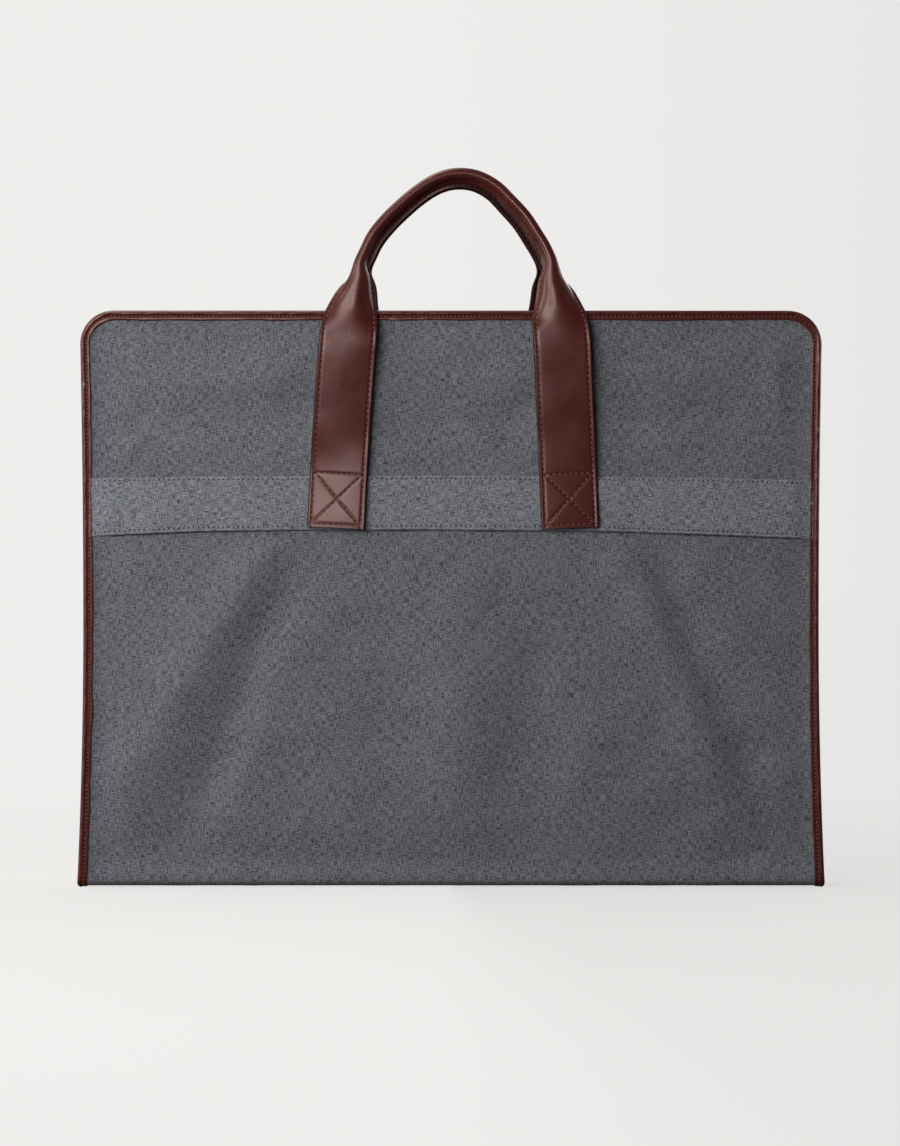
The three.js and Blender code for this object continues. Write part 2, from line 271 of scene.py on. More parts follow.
def bead(length, width, height, sides=6):
    """A short rounded bar, as one stitch of thread shows: its points and faces."""
    points, faces = [(-length / 2, 0, -height * 0.3)], []
    for share, size in ((-0.36, 0.8), (0.0, 1.0), (0.36, 0.8)):
        for k in range(sides):
            a = 2 * math.pi * k / sides
            points.append((share * length, size * width / 2 * math.cos(a),
                           size * height / 2 * math.sin(a)))
    points.append((length / 2, 0, -height * 0.3))
    last = len(points) - 1
    for k in range(sides):
        m = (k + 1) % sides
        faces.append((0, 1 + m, 1 + k))
        for ring in (0, 1):
            a, b = 1 + ring * sides, 1 + (ring + 1) * sides
            faces.append((a + k, a + m, b + m, b + k))
        faces.append((last, last - sides + k, last - sides + m))
    return points, faces


def sew(name, lines, pitch, width, thread, hole):
    """Rows of stitches as one piece. lines hold (points, outward normals) in mm; each stitch is a
    bead of thread between two needle holes, and each hole is a flat near-black disc of painted shade."""
    places, alongs, ups = [], [], []
    for points, normals in lines:
        reached = distances(points)
        count = max(1, int(round(reached[-1] / pitch)))
        at = (np.arange(count) + 0.5) * reached[-1] / count
        up = unit(sampled(at, reached, normals))
        along = unit(sampled(at + 0.4, reached, points) - sampled(at - 0.4, reached, points))
        places.append(sampled(at, reached, points))
        alongs.append(along)
        ups.append(unit(up - along * np.sum(up * along, axis=1, keepdims=True)))
    places, alongs, ups = np.vstack(places), np.vstack(alongs), np.vstack(ups)
    sides = np.cross(ups, alongs)
    shape, faces = bead(pitch * 0.72, width * 1.1, width * 0.8)
    points, every = copies(shape, faces, places, sides, ups, alongs)
    # A flat near-black disc at each stitch's end is painted shade for its needle hole.
    dot, dot_faces = bead(pitch * 0.36, width * 1.35, width * 0.3, 5)
    gap = places + alongs * pitch * 0.5 + ups * width * 0.02
    dots, dot_every = copies(dot, dot_faces, gap, sides, ups, alongs)
    shift = len(points)
    shifted = [tuple(shift + v for v in face) for face in dot_every]
    obj = build(name, np.vstack([points, dots]), every + shifted, thread)
    obj.data.materials.append(hole)
    index = np.zeros(len(every) + len(shifted), np.int32)
    index[len(every):] = 1
    obj.data.polygons.foreach_set("material_index", index)
    return obj


# ---------------------------------------------------------------- the carrier's own shape

def half_width(z):
    """Half the carrier's width at a height: it's a little narrower at the waist."""
    z = np.asarray(z, float)
    above = np.clip((z - WAIST_HEIGHT) / 256, 0, 1)
    below = np.clip((WAIST_HEIGHT - z) / 210, 0, 1)
    return WAIST + 3 * above ** 2 + 5 * below ** 2


def row_half_width(z, inset):
    """Half the width of a panel that is tucked inset mm under the rim, rounded corners included."""
    z = np.asarray(z, float)
    radius = CORNER - inset
    rise = np.clip(z - (TOP - CORNER), 0, radius)
    corner = radius - np.sqrt(np.maximum(radius ** 2 - rise ** 2, 0))
    return half_width(z) - inset - corner


def leg(inner):
    """One half from the middle of its fold up to the corner, seen from the side: depth, height,
    and the direction out of the cloth's face as (depth, height)."""
    face = INNER_FACE if inner else FACE
    radius = INNER_FOLD_RADIUS if inner else FOLD_RADIUS
    floor = INNER_FOLD_FLOOR if inner else FOLD_FLOOR
    under = np.linspace(0.15, face - radius, FOLD_ROWS, endpoint=False)
    turn = np.linspace(0, math.pi / 2, FOLD_ROWS)
    depth = np.concatenate([under, face - radius + radius * np.sin(turn)])
    height = np.concatenate([np.full(FOLD_ROWS, floor), floor + radius - radius * np.cos(turn)])
    angle = np.concatenate([np.zeros(FOLD_ROWS), turn])
    sign = -1 if inner else 1
    out = np.stack([sign * np.sin(angle), -sign * np.cos(angle)], axis=1)
    return depth, height, out


def rim(side, inner, step):
    """Stations round one half's rim, from the middle of the fold up the left side, over the top
    and down the right side: place, way in over the cloth, way out of it, distance along."""
    depth, height, out = leg(inner)
    rise = np.linspace(height[-1], TOP - CORNER, int((TOP - CORNER) / step) + 1)[1:]
    z = np.concatenate([height, rise])
    y = np.concatenate([depth, np.full(len(rise), depth[-1])])
    o = np.vstack([out, np.tile(out[-1], (len(rise), 1))])
    shoulder = half_width(TOP - CORNER) - CORNER
    turn = np.linspace(0, math.pi / 2, CORNER_ROWS + 1)[1:]
    left = [np.stack([-half_width(z), y, z], axis=1)]
    left.append(np.stack([-shoulder - CORNER * np.cos(turn), np.full(CORNER_ROWS, y[-1]),
                          TOP - CORNER + CORNER * np.sin(turn)], axis=1))
    inward = [np.tile([1.0, 0, 0], (len(z), 1)),
              np.stack([np.cos(turn), np.zeros(CORNER_ROWS), -np.sin(turn)], axis=1)]
    across = np.arange(-shoulder, 0, step)[1:]
    left.append(np.stack([across, np.full(len(across), y[-1]), np.full(len(across), TOP)], axis=1))
    inward.append(np.tile([0, 0, -1.0], (len(across), 1)))
    left, inward = np.vstack(left), np.vstack(inward)
    o = np.vstack([o, np.tile(out[-1], (len(left) - len(o), 1))])
    o = np.stack([np.zeros(len(o)), o[:, 0], o[:, 1]], axis=1)
    flip = np.array([-1.0, 1, 1])
    place = np.vstack([left, (left * flip)[::-1]])
    inward = np.vstack([inward, (inward * flip)[::-1]])
    o = np.vstack([o, o[::-1]])
    turn_round = np.array([1.0, side, 1])
    return place * turn_round, inward, o * turn_round, distances(place)


def crosses_fold(obj):
    """Bakes obj's placement into its points."""
    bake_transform(obj)


# Folds of the canvas: from (x, z) to (x, z), width, and height out of the face, in mm. Each is
# raised to FOLD_GAIN times that height.
FOLD_GAIN = 1.5
LOWER_FOLDS = (
    ((-161, 262), (-272, 60), 46, 3.0), ((-140, 236), (-218, 20), 36, -2.4),
    ((5, 290), (5, 30), 62, 1.8), ((139, 272), (238, 56), 38, 2.2),
    ((168, 264), (254, 62), 34, -2.2), ((70, 210), (62, 60), 60, -1.0),
    ((-70, 230), (-60, 70), 70, -1.1), ((190, 60), (262, 22), 46, -1.6),
)
UPPER_FOLDS = (
    ((-262, 378), (-124, 380), 34, -1.7), ((-218, 410), (-118, 408), 30, 1.4),
    ((-20, 376), (70, 380), 34, -1.5), ((0, 408), (66, 410), 28, 1.1),
    ((130, 378), (262, 376), 34, -1.7), ((140, 408), (208, 410), 30, 1.2),
    ((264, 390), (264, 440), 16, 1.0), ((-266, 346), (-218, 394), 14, 0.9),
)


def relief(x, z, side, folds):
    """How far the drape lifts the canvas out of its flat face, in mm."""
    if side > 0:
        x = -x + 18
    lift = np.zeros(np.broadcast(x, z).shape)
    for (ax, az), (bx, bz), width, height in folds:
        span = math.hypot(bx - ax, bz - az)
        ux, uz = (bx - ax) / span, (bz - az) / span
        t = (x - ax) * ux + (z - az) * uz
        d = (x - ax) * uz - (z - az) * ux
        spread = 0.42 * width * (1 + 0.35 * np.clip(t / span, 0, 1))
        ends = smooth(-0.28 * span, 0.22 * span, t) * (1 - smooth(0.72 * span, 1.2 * span, t))
        lift = lift + FOLD_GAIN * height * np.exp(-(d / spread) ** 2) * ends
    seed = 11 if side < 0 else 47
    lift = lift + 0.5 * waves(seed, (46, 120))(x, z) + 0.16 * waves(seed + 1, (18, 40))(x, z)
    return lift


def canvas_lift(x, z, side, strength):
    """The drape of one outer face: still where it is held by binding, band, straps and fold."""
    folds = LOWER_FOLDS if np.max(z) <= SEAM else UPPER_FOLDS
    lift = relief(x, z, side, folds) * strength
    edge = row_half_width(np.minimum(z, TOP - 3), 0) - np.abs(x)
    edge = np.minimum(edge, TOP - z)
    lift = lift * smooth(5, 46, edge)
    lift = lift - 1.1 * smooth(6, 13, edge) * (1 - smooth(13, 40, edge)) * strength
    lift = lift * smooth(22, 40, np.abs(z - SEAM))
    lift = lift - 2.6 * (1 - smooth(8, 58, z)) * smooth(7, 12, z) * smooth(4, 30, edge) * strength
    lift = lift * smooth(7, 26, z)
    from_strap = np.abs(np.abs(x - STRAPS_MIDDLE) - STRAP_REACH)
    below_strap = (1 - smooth(24, 40, from_strap)) * smooth(290, 320, z)
    return np.where(lift > 1.4, lift - below_strap * (lift - 1.4), lift)


def canvas_drape(x, z, side, strength):
    """The drape of a whole outer face, both panels."""
    low = canvas_lift(x, np.minimum(z, SEAM - 0.5), side, strength)
    high = relief(x, z, side, UPPER_FOLDS) * strength
    return np.where(z < SEAM, low, np.minimum(high, 0) - 0.4)


# ---------------------------------------------------------------- materials

def add_node(tree, kind, inputs=None, **settings):
    """Adds a node with its settings. An input takes a value or another node's output."""
    node = tree.nodes.new(kind)
    for key, value in settings.items():
        setattr(node, key, value)
    for key, value in (inputs or {}).items():
        if isinstance(value, bpy.types.NodeSocket):
            tree.links.new(value, node.inputs[key])
        else:
            node.inputs[key].default_value = value
    return node


def shaded(name, **values):
    """A new material, its node tree and its shader, with plain values on the shader's sockets."""
    material = bpy.data.materials.new(name)
    material.use_nodes = True
    tree = material.node_tree
    tree.nodes.clear()
    shader = add_node(tree, "ShaderNodeBsdfPrincipled",
                      {key.replace("_", " "): value for key, value in values.items()})
    add_node(tree, "ShaderNodeOutputMaterial", {"Surface": shader.outputs[0]})
    return material, tree, shader


def tint(colour, factor):
    """The same hue, lighter or darker."""
    return tuple(min(1.0, c * factor) for c in colour[:3]) + (1.0,)


def noise(tree, place, scale, detail, **settings):
    """Soft random spots, scale of them to a metre."""
    return add_node(tree, "ShaderNodeTexNoise", {"Vector": place, "Scale": scale, "Detail": detail},
                    **settings)


def ramped(tree, value, start, end, low, high, interpolation="LINEAR"):
    """A value carried from the range start to end over to the range low to high."""
    ends = {"From Min": start, "From Max": end, "To Min": low, "To Max": high}
    return add_node(tree, "ShaderNodeMapRange", {"Value": value, **ends},
                    interpolation_type=interpolation).outputs[0]


def maths(tree, operation, *values):
    """One sum over values or other nodes' outputs."""
    return add_node(tree, "ShaderNodeMath", dict(enumerate(values)), operation=operation).outputs[0]


def two_tone(tree, shader, share, dark, light):
    """Gives the shader a colour that runs from dark to light with share."""
    mixed = add_node(tree, "ShaderNodeMix", {0: share, 6: dark, 7: light}, data_type="RGBA")
    tree.links.new(mixed.outputs[2], shader.inputs["Base Color"])


def bumpy(tree, shader, height, strength, distance):
    """Gives the shader a relief, distance metres high."""
    bump = add_node(tree, "ShaderNodeBump", {"Height": height, "Strength": strength, "Distance": distance})
    tree.links.new(bump.outputs[0], shader.inputs["Normal"])


def canvas_cloth(name, colour):
    """Melange canvas, woven from yarns of mixed pale and dark fibre: a matt grey that breaks into
    fine flecks and short streaks along both yarns. The real yarns are 0.4 mm apart, too fine to
    show, so they are coarsened: flecks of about 0.5 mm, and streaks of about 0.5 by 5 mm."""
    material, tree, shader = shaded(name, Roughness=0.9, Specular_IOR_Level=0.22, Sheen_Weight=0.12,
                                    Sheen_Roughness=0.5)
    uv = add_node(tree, "ShaderNodeTexCoord").outputs["UV"]
    layers = []
    for scale, detail in (((1900, 170, 1), 1.0), ((200, 1900, 1), 1.0), ((2000, 2000, 1), 0.0)):
        spot = add_node(tree, "ShaderNodeMapping", {"Vector": uv, "Scale": scale})
        yarn = noise(tree, spot.outputs[0], 1.0, detail, noise_dimensions="2D")
        yarn.inputs["Roughness"].default_value = 0.6
        layers.append(yarn.outputs["Fac"])
    fleck = maths(tree, "MULTIPLY_ADD", layers[2], 0.6, maths(tree, "ADD", layers[0], layers[1]))
    cloud = noise(tree, uv, 26, 3, noise_dimensions="2D")
    cloudy = maths(tree, "MULTIPLY_ADD", cloud.outputs["Fac"], 0.12, fleck)
    two_tone(tree, shader, ramped(tree, cloudy, 1.1, 1.54, 0.0, 1.0), tint(colour, 0.4), tint(colour, 2.6))
    bumpy(tree, shader, fleck, 0.35, 0.0004)
    return material


def dyed_leather(name, colour, grain, rough):
    """Vegetable-tanned leather, dyed through and waxed: a deep red-brown that shines softly over
    a fine pebbled grain and is cloudy from the dye."""
    material, tree, shader = shaded(name, Roughness=rough, Specular_IOR_Level=0.42, Coat_Weight=0.12,
                                    Coat_Roughness=0.26, Specular_Tint=(1.0, 0.74, 0.7, 1.0))
    place = add_node(tree, "ShaderNodeTexCoord").outputs["Object"]
    cloud = noise(tree, place, 38, 4)
    cloud.inputs["Roughness"].default_value = 0.6
    dye = cloud.outputs["Fac"]
    two_tone(tree, shader, dye, tint(colour, 0.72), tint(colour, 1.3))
    worn = ramped(tree, dye, 0.3, 0.75, rough - 0.03, rough + 0.05)
    tree.links.new(worn, shader.inputs["Roughness"])
    pore = add_node(tree, "ShaderNodeTexVoronoi", {"Vector": place, "Scale": 1 / grain}, feature="SMOOTH_F1")
    wrinkle = noise(tree, place, 420, 3)
    height = maths(tree, "MULTIPLY_ADD", pore.outputs["Distance"], 0.6, wrinkle.outputs["Fac"])
    bumpy(tree, shader, height, 0.16, 0.0003)
    return material


def plain_fabric(name, colour, size, rough=0.85, strength=0.25):
    """Plain woven cloth, tape, thread or foam: one colour with a small grain at the given size."""
    material, tree, shader = shaded(name, Roughness=rough, Specular_IOR_Level=0.25)
    place = add_node(tree, "ShaderNodeTexCoord").outputs["Object"]
    grain = noise(tree, place, 1 / size, 2).outputs["Fac"]
    two_tone(tree, shader, grain, tint(colour, 0.75), tint(colour, 1.25))
    bumpy(tree, shader, grain, strength, size * 0.4)
    return material


def aged_brass(name):
    """Cast brass with a thin brown tarnish: warm, half dull metal that is brighter where worn."""
    material, tree, shader = shaded(name, Metallic=1.0)
    place = add_node(tree, "ShaderNodeTexCoord").outputs["Object"]
    tarnish = noise(tree, place, 320, 4).outputs["Fac"]
    two_tone(tree, shader, tarnish, linear("8A6A3A"), linear("B8965A"))
    tree.links.new(ramped(tree, tarnish, 0, 1, 0.26, 0.5), shader.inputs["Roughness"])
    return material


MATERIALS = {}


def finish_of(name):
    """The material of that name, made at its first use."""
    if name in MATERIALS:
        return MATERIALS[name]
    colours = bpy.context.scene.carrier_colours
    # The band's canvas is the same cloth made 1.34 times lighter: painted light for the light the band
    # catches.
    canvases = {"melange_canvas": 1.0, "band_canvas_painted_light": 1.34}
    leathers = {
        "binding_leather": (1.0, 0.0009, 0.32),
        "handle_leather": (1.0, 0.0012, 0.3),
        # The rear handle's leather is the same dye darkened to 0.42: painted shade for the shade it sits in
        # behind the front handle.
        "rear_handle_leather": (0.42, 0.0012, 0.38),
    }
    fabrics = {
        "burnished_edge": (tint(colours.leather, 0.3), 0.0012, 0.7),
        # The rear handle's thread is darkened to 0.4: painted shade.
        "rear_shaded_leather_thread": (tint(colours.leather_thread, 0.4), 0.0006, 0.7),
        "waxed_leather_thread": (colours.leather_thread, 0.0006, 0.6),
        "canvas_thread": (colours.canvas_thread, 0.0006, 0.8),
        # Needle holes are near-black discs: painted shade in the holes.
        "hole_painted_shade": (linear("140807"), 0.001, 0.9),
        "canvas_hole_painted_shade": (linear("17181B"), 0.001, 0.9),
        "lining_cotton": (linear("3A3D43"), 0.0008),
        "foam_sheet": (linear("C9C5BC"), 0.0012),
        "zip_tape": (linear("24262A"), 0.0007),
        "webbing": (linear("24262A"), 0.0012, 0.85, 0.5),
        "cotton_rope": (linear("D6CCB4"), 0.0008, 0.85, 0.5),
    }
    if name in canvases:
        made = canvas_cloth(name, tint(colours.canvas, canvases[name]))
    elif name in leathers:
        shade, grain, rough = leathers[name]
        made = dyed_leather(name, tint(colours.leather, shade), grain, rough)
    elif name in fabrics:
        made = plain_fabric(name, *fabrics[name])
    else:
        made = aged_brass(name)
    MATERIALS[name] = made
    return made


# ---------------------------------------------------------------- canvas

def panel_rows(part):
    """Rows of one outer panel: depth, height and the way out of the face, as (depth, height)."""
    if part == "lower":
        depth, height, out = leg(False)
        rise = np.linspace(height[-1], SEAM - 0.15, 72)[1:]
    else:
        depth, height, out = np.array([FACE]), np.array([SEAM + 0.15]), np.array([[1.0, 0]])
        flat = np.linspace(SEAM, TOP - CORNER, 32)[1:]
        rise = np.concatenate([flat, corner_rows()])
    y = np.concatenate([depth, np.full(len(rise), FACE)])
    z = np.concatenate([height, rise])
    return y, z, np.vstack([out, np.tile([1.0, 0], (len(rise), 1))])


def corner_rows():
    """Heights of a panel's rows beside its rounded top corners."""
    return TOP - CORNER + (CORNER - TUCK) * np.sin(np.linspace(0, math.pi / 2, 12)[1:])


def lifted(x, y, z, lift, out, side):
    """A panel's points, moved off its rows (y, z) by lift along the way out of its face."""
    return np.stack([x, side * (y[:, None] + lift * out[:, 0:1]), z[:, None] + lift * out[:, 1:2]], axis=2)


def outer_panel(half, part, strength):
    """One outer canvas panel. The lower one turns under the fold to the middle of the spine."""
    side = HALVES[half]
    y, z, out = panel_rows(part)
    share = np.linspace(-1, 1, 149)
    x = share[None, :] * row_half_width(z, TUCK)[:, None]
    lift = canvas_lift(x, np.broadcast_to(z[:, None], x.shape), side, strength)
    grid = lifted(x, y, z, lift, out, side)
    # The upper panel's weave starts elsewhere, so that the two don't match across the seam.
    start = 0 if part == "lower" else 420
    along = distances(np.stack([y, z], axis=1)) + start
    obj = slab(f"{half}_{part}_canvas", grid, CANVAS, finish_of("melange_canvas"), (0, side, 0), along,
               share * WAIST)
    return obj


class CARRIER_OT_outer_canvas(bpy.types.Operator):
    """Make the outer canvas panels of both halves"""

    bl_idname = "carrier.outer_canvas"
    bl_label = "Outer canvas"

    def execute(self, context):
        strength = context.scene.carrier_sizes.relief
        for half in HALVES:
            obj = outer_panel(half, "upper", strength)
            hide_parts(half + "_upper_panel")
            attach(obj, half + "_half")
            obj = outer_panel(half, "lower", strength)
            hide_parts(half + "_lower_panel")
            if half == "front":
                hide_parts("spine_panel")
            crosses_fold(obj)
        return {"FINISHED"}


# The handle band's edges: across, then the height there, in mm. EDGE is the radius that they are
# rounded to, and SEAMS are its two rows of stitches: distance from the edge, and whether the top's.
BAND_LOWER = ((-296, -291, -206, -113, 0, 121, 206, 291, 296),
              (283.5, 283.5, 287.3, 288.6, 288.6, 287.6, 284.8, 281.4, 281.2))
BAND_UPPER = ((-296, -291, -200, 0, 200, 296), (330.3, 330.5, 331.8, 332.5, 331, 328.4))
BAND_EDGE, BAND_POINTS = 1.15, 27
BAND_SEAMS = ((2.2, True), (3.4, False))


def band_section(x):
    """The handle band across its height at one place: a strip with rounded edges, closed, from its
    lower edge round the front to the back. The band is lower at its ends than in the middle."""
    low, high = np.interp(x, *BAND_LOWER), np.interp(x, *BAND_UPPER)
    first, last = low + BAND_EDGE, high - BAND_EDGE
    front_z = first + (high - low - 2 * BAND_EDGE) * np.linspace(0, 1, BAND_POINTS)
    # Both seams pull the cloth in.
    front_y = (BAND_HIGH[1] - 0.5 * np.exp(-((front_z - low - 3.4) / 1.1) ** 2)
               - 0.45 * np.exp(-((high - front_z - 2.2) / 1.0) ** 2))
    up = np.linspace(0, math.pi, 7)[1:-1]
    z = np.concatenate([front_z, last + BAND_EDGE * np.sin(up), np.linspace(last, first, 8),
                        first - BAND_EDGE * np.sin(up)])
    y = np.concatenate([front_y, BAND_HIGH[1] - BAND_EDGE + BAND_EDGE * np.cos(up), np.full(8, BAND_LOW[1]),
                        BAND_LOW[1] + BAND_EDGE - BAND_EDGE * np.cos(up)])
    return y, z


class CARRIER_OT_handle_bands(bpy.types.Operator):
    """Make the canvas bands that the handles are sewn to"""

    bl_idname = "carrier.handle_bands"
    bl_label = "Handle bands"

    def execute(self, context):
        pitch = context.scene.carrier_sizes.cloth_pitch * 1000
        for half, side in HALVES.items():
            across = np.linspace(-292, 292, 197)
            rings = self.rings(across, side)
            lap = lap_of(rings[len(rings) // 2])
            obj = loft(f"{half}_handle_band_canvas", rings, finish_of("band_canvas_painted_light"), across, lap + 210)
            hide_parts(half + "_handle_band")
            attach(obj, half + "_half")
            rows = [self.seam(rings, side, *seam) for seam in BAND_SEAMS]
            thread = sew(f"{half}_band_stitches", rows, pitch, 0.95, finish_of("canvas_thread"),
                         finish_of("canvas_hole_painted_shade"))
            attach(thread, half + "_half")
        return {"FINISHED"}

    @staticmethod
    def rings(across, side):
        """Sections of the band. It hangs loose between the straps and is tucked in at its ends."""
        sway = waves(5 if side < 0 else 23, (50, 130))
        rings = []
        for x in across:
            y, z = band_section(-x if side > 0 else x)
            rise = z - z.min()
            free = 0.5 + 0.5 * sway(x, 0.0)
            belly = np.sin(np.clip(rise / (z.max() - z.min()), 0, 1) * math.pi)
            held = 1 - smooth(24, 34, abs(abs(x - STRAPS_MIDDLE) - STRAP_REACH))
            lift = (0.25 * belly * sway(x, 40.0) + 0.7 * free * (1 - smooth(0, 9, rise))) * (1 - 0.8 * held)
            tuck = smooth(274, 289, abs(x))
            y = (y + lift) * (1 - tuck) + (FACE + 0.05 + (y - BAND_LOW[1]) * 0.3) * tuck
            rings.append(np.stack([np.full(len(y), x), side * y, z], axis=1))
        return np.array(rings)

    @staticmethod
    def seam(rings, side, inset, from_top):
        """One row of stitches along the band: points and normals."""
        line = []
        for ring in rings:
            y, z = ring[:BAND_POINTS, 1], ring[:BAND_POINTS, 2]
            at = z[-1] + BAND_EDGE - inset if from_top else z[0] - BAND_EDGE + inset
            line.append([ring[0, 0], np.interp(at, z, y), at])
        line = np.array(line)[3:-3]
        return line, np.tile([0.0, side, 0], (len(line), 1))


# ---------------------------------------------------------------- binding

# One half of the binding's section, across the rim: (in over the cloth, out of its face), mm.
BINDING_OUTSIDE = (
    (8.0, 0.05), (8.05, 0.4), (7.8, 0.68), (7.2, 0.82), (6.5, 0.86), (5.9, 0.76), (5.35, 0.5), (4.85, 0.34),
    (4.35, 0.56), (3.8, 0.98), (3.1, 1.36), (2.4, 1.48), (1.7, 1.34), (1.05, 0.9), (0.45, 0.0), (0.08, -1.0),
    (0.0, -1.8),
    (0.12, -2.8), (0.55, -3.7), (1.3, -4.35), (2.3, -4.62), (3.6, -4.6), (5.2, -4.5), (6.6, -4.55),
    (7.4, -4.4), (7.7, -4.0), (7.4, -3.65), (5.5, -3.55), (3.6, -3.4), (2.4, -3.0), (1.8, -2.2), (1.7, -1.4), (2.1, -0.55),
    (3.2, -0.12), (5.5, -0.02),
)


def binding_piece(half, inner, sizes):
    """The leather strip folded over one rim and its row of stitches."""
    side = HALVES[half]
    place, inward, out, along = rim(side, inner, 2.5)
    section = np.array(BINDING_OUTSIDE)
    scale = sizes.binding_width * 1000 / 8 * (0.75 if inner else 1.0)
    wander = waves(61 + side + 5 * inner, (35, 90))
    swell = waves(71 + side + 5 * inner, (7, 16))
    low = 1 - smooth(3.0, 16.0, place[:, 2])
    rings = []
    for k in range(len(place)):
        i, d = section[:, 0] * scale, section[:, 1] * (0.85 if inner else 1.0)
        puff = 1 + 0.16 * swell(along[k], section[:, 0] * 4)
        lean = 0.35 * wander(along[k], 0) * (1 - low[k])
        i = i + np.where(section[:, 0] > 6, lean * 0.6, 0)
        d = np.where(d > 0.3, 0.3 + (d - 0.3) * puff, d)
        d = np.where(d < 0, d * (1 - 0.45 * low[k]), d)
        d = np.where(d > 0, d * (1 - 0.22 * low[k] * (0 if inner else 1)), d)
        rings.append(place[k] + i[:, None] * inward[k] + d[:, None] * out[k])
    rings = np.array(rings)
    word = "inner" if inner else "outer"
    lap = lap_of(section)
    obj = loft(f"{half}_{word}_leather_binding", rings, finish_of("binding_leather"), along, lap)
    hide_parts(f"{half}_{word}_binding")
    if half == "front" and not inner:
        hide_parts("spine_binding_left", "spine_binding_right")
    crosses_fold(obj)
    row = rings[:, 7] + out * 0.2
    thread = sew(f"{half}_{word}_binding_stitches", [(row, out)], sizes.binding_pitch * 1000, 1.05,
                 finish_of("waxed_leather_thread"), finish_of("hole_painted_shade"))
    crosses_fold(thread)


class CARRIER_OT_bindings(bpy.types.Operator):
    """Make the leather binding round every rim, with its stitches"""

    bl_idname = "carrier.bindings"
    bl_label = "Bindings"

    def execute(self, context):
        for half in HALVES:
            for inner in (False, True):
                binding_piece(half, inner, context.scene.carrier_sizes)
        return {"FINISHED"}


class CARRIER_OT_gussets(bpy.types.Operator):
    """Make the canvas walls that join each half's two faces"""

    bl_idname = "carrier.gussets"
    bl_label = "Gussets"

    def execute(self, context):
        for half, side in HALVES.items():
            outer, inward, out, along = rim(side, False, 3.0)
            inner, inward_in, out_in, _ = rim(side, True, 3.0)
            sag = waves(81 + side, (28, 80))
            low = 1 - smooth(4.0, 22.0, outer[:, 2])
            rows = []
            for k in range(len(outer)):
                depth = 1 - 0.45 * low[k]
                start = [outer[k] + inward[k] * i - out[k] * d * depth
                         for i, d in ((3.2, 1.9), (6.4, 2.0), (8.2, 2.5), (9.2, 3.8), (9.5, 5.2))]
                end = [inner[k] + inward_in[k] * i - out_in[k] * d * (1 - 0.5 * low[k])
                       for i, d in ((9.5, 5.2), (9.2, 3.8), (7.9, 2.4), (6.0, 2.0), (3.0, 1.9))]
                wall = []
                for t in np.linspace(0, 1, 11)[1:-1]:
                    point = start[-1] * (1 - t) + end[0] * t
                    dip = math.sin(math.pi * t) * (1.6 + 1.1 * sag(along[k], t * 22)) * (1 - low[k])
                    wall.append(point + inward[k] * dip)
                rows.append(start + wall + end)
            grid = np.array(rows)
            obj = slab(f"{half}_gusset_canvas", grid, 1.0, finish_of("melange_canvas"), -inward[:, None, :])
            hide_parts(half + "_gusset_left", half + "_gusset_right", half + "_gusset_top")
            crosses_fold(obj)
        return {"FINISHED"}


